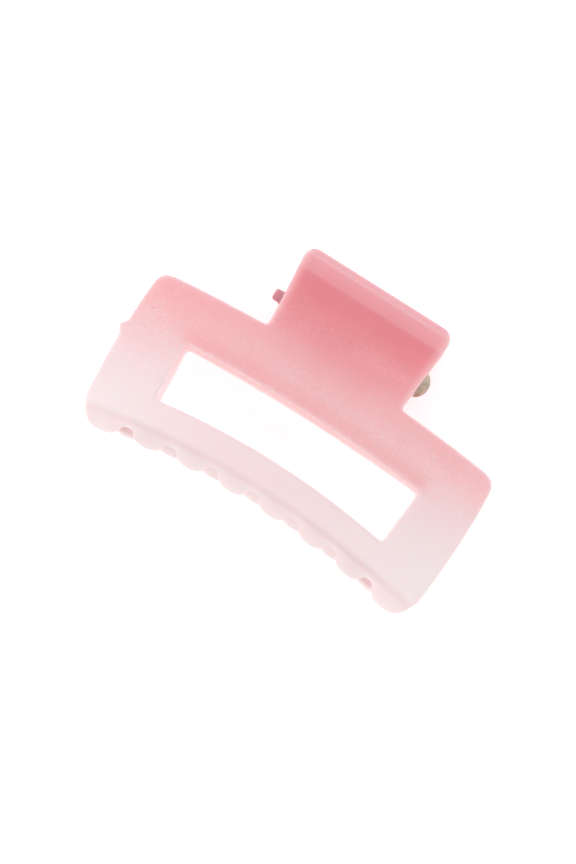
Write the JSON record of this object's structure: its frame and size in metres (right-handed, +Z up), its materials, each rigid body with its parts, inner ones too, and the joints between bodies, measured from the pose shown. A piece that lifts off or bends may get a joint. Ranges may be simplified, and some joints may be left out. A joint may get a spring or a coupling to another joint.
{
  "type": "hair claw clip",
  "caption": "Rectangular spring claw clip for hair: two windowed, toothed jaws with thumb handles, joined by a hinge pin and a coil spring.",
  "frame": {"origin": "on the surface that the closed clip lies on, under the middle of its outline", "axes": "+X along the hinge towards the pin's head, +Y towards the handles, +Z up through the front jaw"},
  "size_m": [0.0891, 0.0593, 0.0357],
  "materials": {
    "frosted_plastic": "frosted translucent, coral pink at the handles fading to clear at the teeth",
    "pin_steel": "dull nickel plate",
    "spring_steel": "drawn wire"
  },
  "bodies": {
    "rear": {"rear_jaw": "frosted_plastic", "hinge_pin": "pin_steel", "torsion_spring": "spring_steel"},
    "front": {"front_jaw": "frosted_plastic"}
  },
  "joints": [
    {"name": "jaw_hinge", "type": "hinge", "parent": "rear", "child": "front", "pos_m": [0.00055, 0.01711, 0.01785], "axis": [-1, 0, 0], "range_deg": [0, 85], "stiffness_Nm_per_rad": 0.12, "springref_deg": -51.57, "deforming": ["torsion_spring"]}
  ]
}
